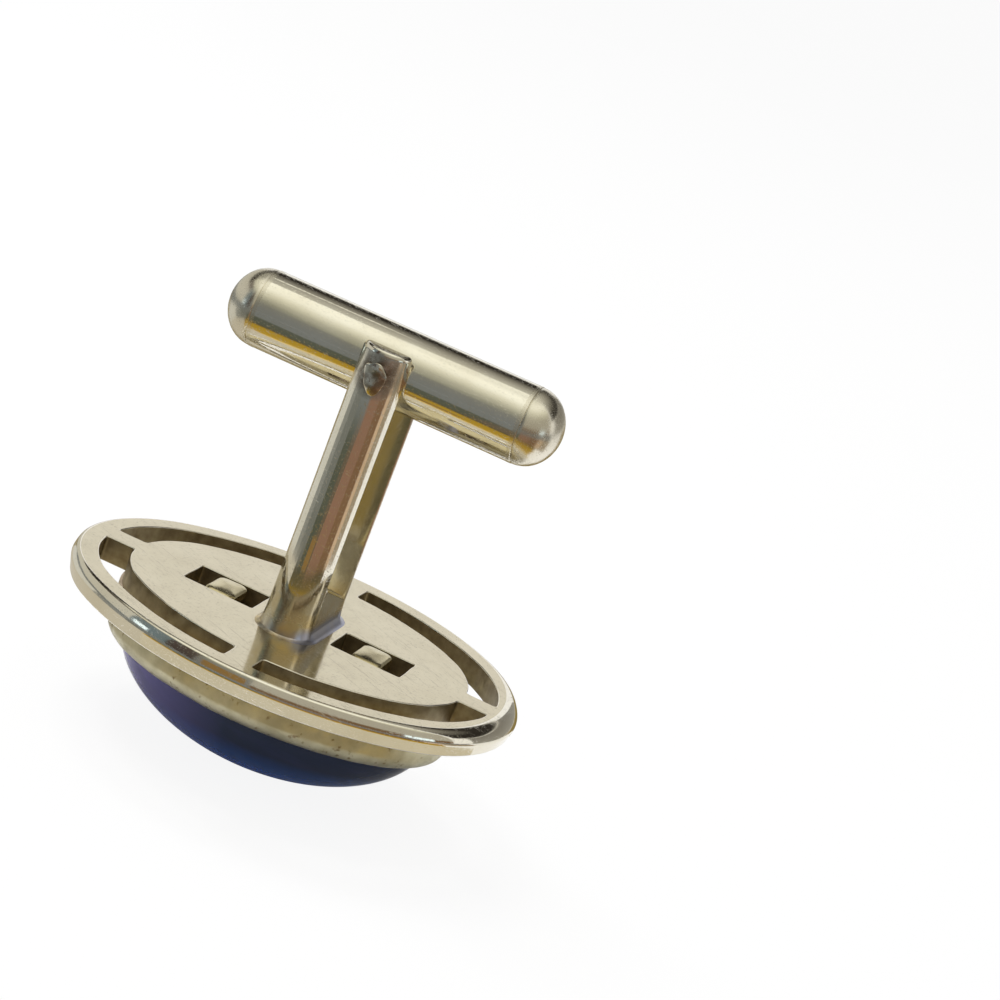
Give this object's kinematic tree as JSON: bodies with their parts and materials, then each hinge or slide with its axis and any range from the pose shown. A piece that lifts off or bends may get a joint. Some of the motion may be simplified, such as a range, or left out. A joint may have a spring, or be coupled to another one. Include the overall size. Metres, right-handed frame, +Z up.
{
  "type": "cufflink",
  "caption": "Swivel-back cufflink: pierced oval silver back with a domed blue stone in front, a forked post and a bullet bar that turns to pass through a buttonhole.",
  "frame": {"origin": "centre of the flat back face, where the post stands", "axes": "+Z up the post towards the bar, away from the stone; +X along the oval's long axis and the bar at rest; the pivot pin lies along Y"},
  "size_m": [0.024, 0.0196, 0.0236],
  "materials": {
    "satin_silver": "scuffed satin polish",
    "polished_silver": "polished",
    "pale_gilt_silver": "worn, speckled",
    "gold": "polished",
    "blue_stone": "glossy, opaque",
    "spring_steel": "rolled"
  },
  "bodies": {
    "head": {"back_frame": "satin_silver", "bezel_cup": "pale_gilt_silver", "cabochon": "blue_stone", "setting_stud_left": "gold", "setting_stud_right": "gold", "post_fork": "polished_silver", "pivot_pin": "polished_silver"},
    "bar": {"swivel_tube": "polished_silver", "end_plug_left": "polished_silver", "end_plug_right": "polished_silver", "detent_spring_upper": "spring_steel", "detent_spring_lower": "spring_steel"}
  },
  "joints": [
    {"name": "bar_swivel", "type": "hinge", "parent": "head", "child": "bar", "pos_m": [0, 0, 0.01395], "axis": [0, 1, 0], "range_deg": [-90, 90]}
  ]
}
